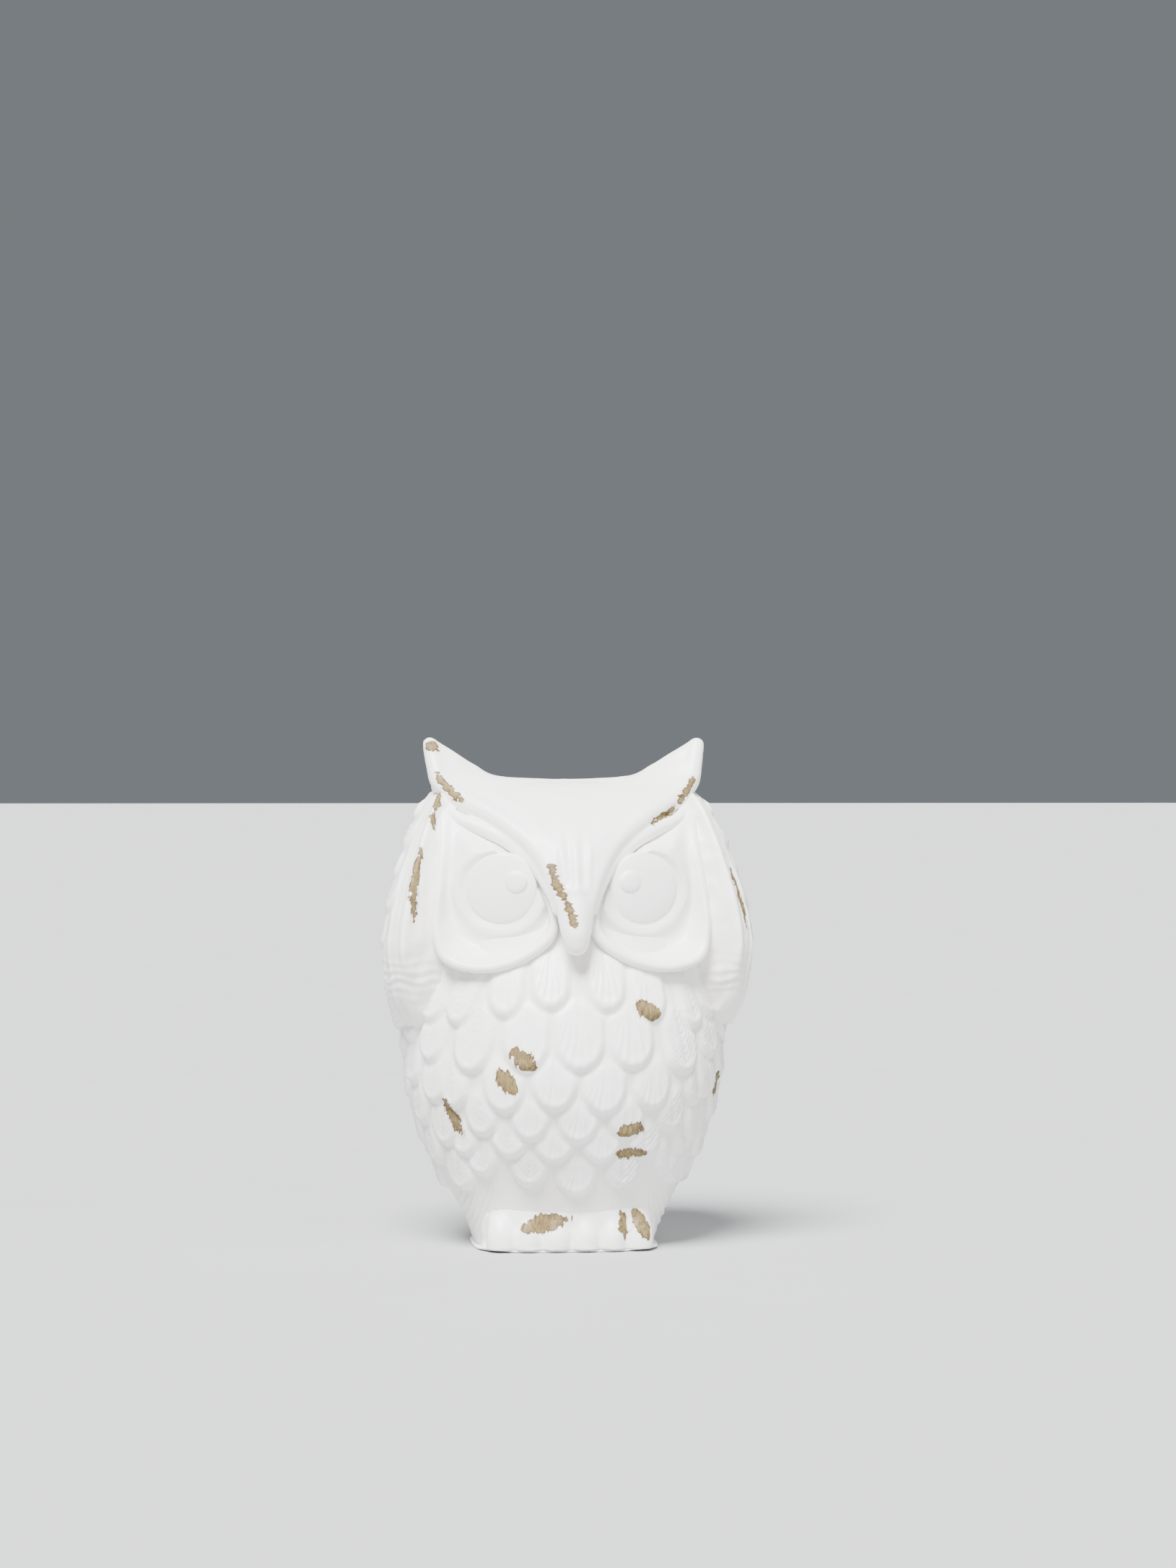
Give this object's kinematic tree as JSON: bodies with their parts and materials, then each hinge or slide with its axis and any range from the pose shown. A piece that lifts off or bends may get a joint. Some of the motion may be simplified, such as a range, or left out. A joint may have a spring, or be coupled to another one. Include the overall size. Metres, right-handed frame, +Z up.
{
  "type": "owl figurine",
  "caption": "Hollow ceramic owl figurine with a raised brow and ear tufts, dished eye masks, folded wings, toes, a tail and a thin base pad.",
  "frame": {"origin": "middle of the underside of the base pad, at the bottom centre of the bounding box", "axes": "+Z up; the owl faces -Y; +X is the owl's own left side"},
  "size_m": [0.1292, 0.1075, 0.18],
  "materials": {
    "white_glaze": "matte white glaze rubbed through to tan clay on the raised edges",
    "pad": "thin white backing pad"
  },
  "bodies": {
    "root": {"body_shell": "white_glaze", "brow_crest": "white_glaze", "beak": "white_glaze", "mask_left": "white_glaze", "mask_right": "white_glaze", "eye_left": "white_glaze", "eye_right": "white_glaze", "pupil_left": "white_glaze", "pupil_right": "white_glaze", "wing_left": "white_glaze", "wing_right": "white_glaze", "foot_left": "white_glaze", "foot_right": "white_glaze", "tail": "white_glaze", "base_pad": "pad"}
  },
  "joints": []
}
